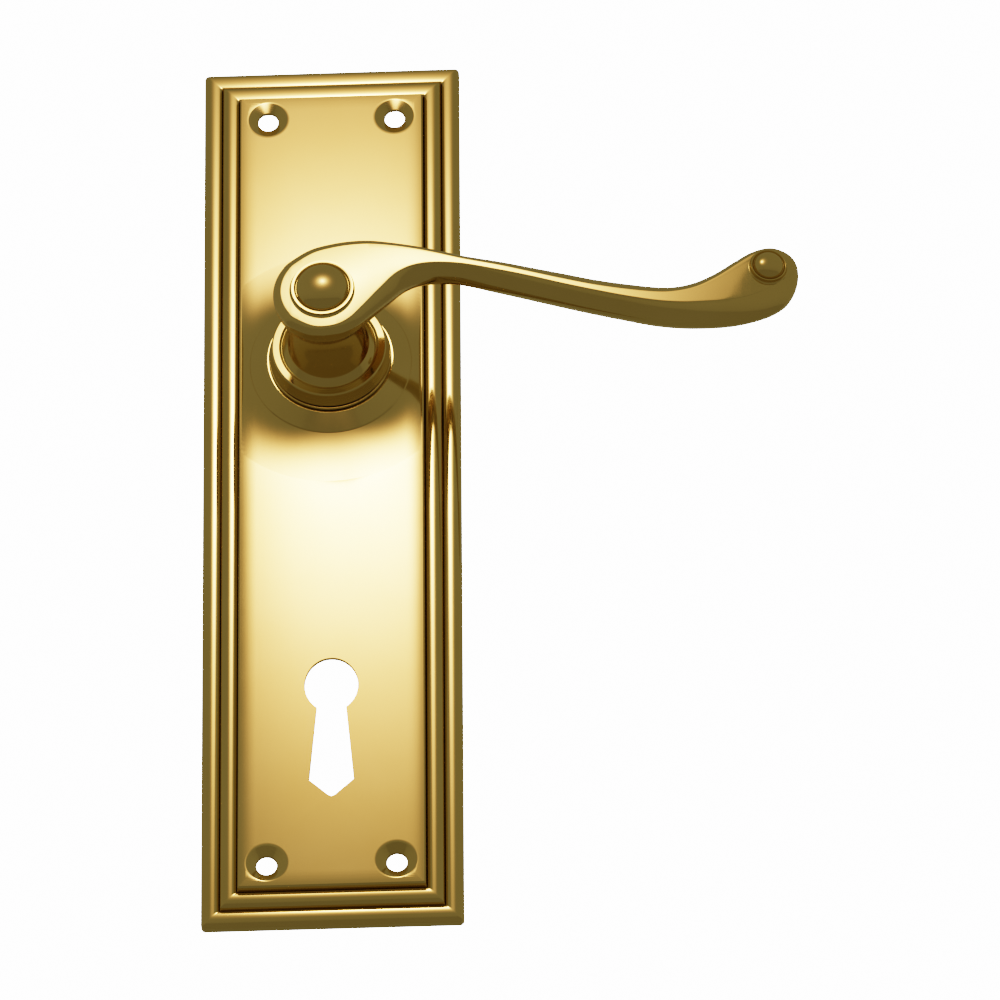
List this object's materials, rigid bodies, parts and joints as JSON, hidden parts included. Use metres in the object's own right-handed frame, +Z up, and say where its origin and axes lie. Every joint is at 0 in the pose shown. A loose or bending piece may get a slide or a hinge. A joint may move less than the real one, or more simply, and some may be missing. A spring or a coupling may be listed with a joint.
{
  "type": "lever handle on lock backplate",
  "caption": "Sprung scroll lever handle on a long rectangular lock backplate with stepped reeded edge, keyhole and countersunk fixing holes, in polished brass.",
  "frame": {"origin": "on the spindle axis, in the plane of the door's face where the backplate rests", "axes": "+X along the lever's arm, +Z up the backplate, +Y into the door along the spindle"},
  "size_m": [0.1162, 0.0972, 0.19],
  "materials": {
    "cast_brass": "cast, machine polished to a mirror, lacquered",
    "turned_brass": "turned, polished to a mirror, lacquered",
    "nylon": "moulded, natural",
    "plated_steel": "pressed, bright zinc plated",
    "spring_steel": "hardened, oiled",
    "bar_steel": "drawn bar, light oil"
  },
  "bodies": {
    "plate": {"backplate": "cast_brass", "seat_ring": "turned_brass", "neck_bush": "nylon", "spring_housing": "plated_steel", "spring_cover": "plated_steel", "housing_screw_upper": "plated_steel", "housing_screw_lower": "plated_steel", "stop_pin_rest": "plated_steel", "stop_pin_open": "plated_steel", "spring_anchor_pin": "plated_steel", "wave_washer": "spring_steel", "return_spring": "spring_steel"},
    "lever": {"lever_neck": "turned_brass", "lever_arm": "cast_brass", "hub_button": "turned_brass", "scroll_button": "turned_brass", "drive_cam": "plated_steel", "thrust_washer": "plated_steel", "circlip": "spring_steel", "spindle": "bar_steel"}
  },
  "joints": [
    {"name": "lever_turn", "type": "hinge", "parent": "plate", "child": "lever", "pos_m": [0, 0, 0], "axis": [0, 1, 0], "range_deg": [0, 45], "stiffness_Nm_per_rad": 0.5, "springref_deg": -34.38, "deforming": ["return_spring"]}
  ]
}
